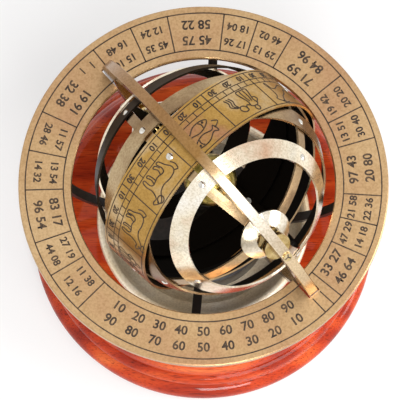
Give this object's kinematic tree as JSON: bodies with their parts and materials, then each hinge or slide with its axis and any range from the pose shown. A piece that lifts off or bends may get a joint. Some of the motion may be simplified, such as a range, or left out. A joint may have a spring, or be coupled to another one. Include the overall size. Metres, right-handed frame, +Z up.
{
  "type": "armillary sphere",
  "caption": "Desk armillary sphere: engraved horizon ring on a black cradle, turning meridian ring, sphere of brass bands spinning on its polar axis, turned wooden base.",
  "frame": {"origin": "centre of the footprint on the table, at the underside of the felt", "axes": "+Z up from the table, +X to the right and +Y away from a viewer who faces the raised pole's side of the horizon ring; the meridian ring stands along azimuth -48.5 degrees"},
  "size_m": [0.14, 0.14, 0.1408],
  "materials": {
    "felt": "dense green felt",
    "lacquered_wood": "turned hardwood under clear red lacquer",
    "spun_brass": "pale spun brass, buffed",
    "black_paint": "satin black paint",
    "horizon_brass": "brushed and engraved brass, slightly tanned",
    "meridian_brass": "brass, tan to golden on the rim, rubbed bright near the pole, flat sides brown",
    "band_brass": "brass outside, darkened inside",
    "zodiac_brass": "engraved brass outside, darkened inside",
    "polished_brass": "polished brass",
    "screw_steel": "blackened steel fastener"
  },
  "bodies": {
    "stand": {"base_felt": "felt", "base_nut": "screw_steel", "base_washer": "screw_steel", "brass_dish": "spun_brass", "cradle_bolt": "screw_steel", "cradle_hub": "black_paint", "cradle_leg_back": "black_paint", "cradle_leg_front": "black_paint", "cradle_leg_left": "black_paint", "cradle_leg_right": "black_paint", "horizon_ring": "horizon_brass", "horizon_screws": "screw_steel", "hub_screws": "screw_steel", "wooden_base": "lacquered_wood"},
    "meridian": {"meridian_ring": "meridian_brass", "north_pivot": "polished_brass", "south_pivot": "polished_brass", "pivot_spacers": "polished_brass"},
    "sphere": {"axis_rod": "polished_brass", "earth_ball": "polished_brass", "earth_collars": "polished_brass", "polar_bushes": "polished_brass", "polar_nuts": "polished_brass", "north_cap": "polished_brass", "south_cap": "polished_brass", "band_rivets": "polished_brass", "zodiac_rivets": "polished_brass", "solstice_colure": "band_brass", "equinox_colure_east": "band_brass", "equinox_colure_west": "band_brass", "arctic_band": "polished_brass", "north_tropic_band": "band_brass", "equator_band": "band_brass", "south_tropic_band": "band_brass", "antarctic_band": "polished_brass", "zodiac_band": "zodiac_brass"}
  },
  "joints": [
    {"name": "latitude_turn", "type": "hinge", "parent": "stand", "child": "meridian", "pos_m": [0.00255, 0.00225, 0.082], "axis": [-0.7441, -0.659, -0.1097], "range_deg": [-25, 24]},
    {"name": "sphere_spin", "type": "hinge", "parent": "meridian", "child": "sphere", "pos_m": [0.00255, 0.00225, 0.082], "axis": [0.4889, -0.6491, 0.5828], "continuous": true}
  ]
}
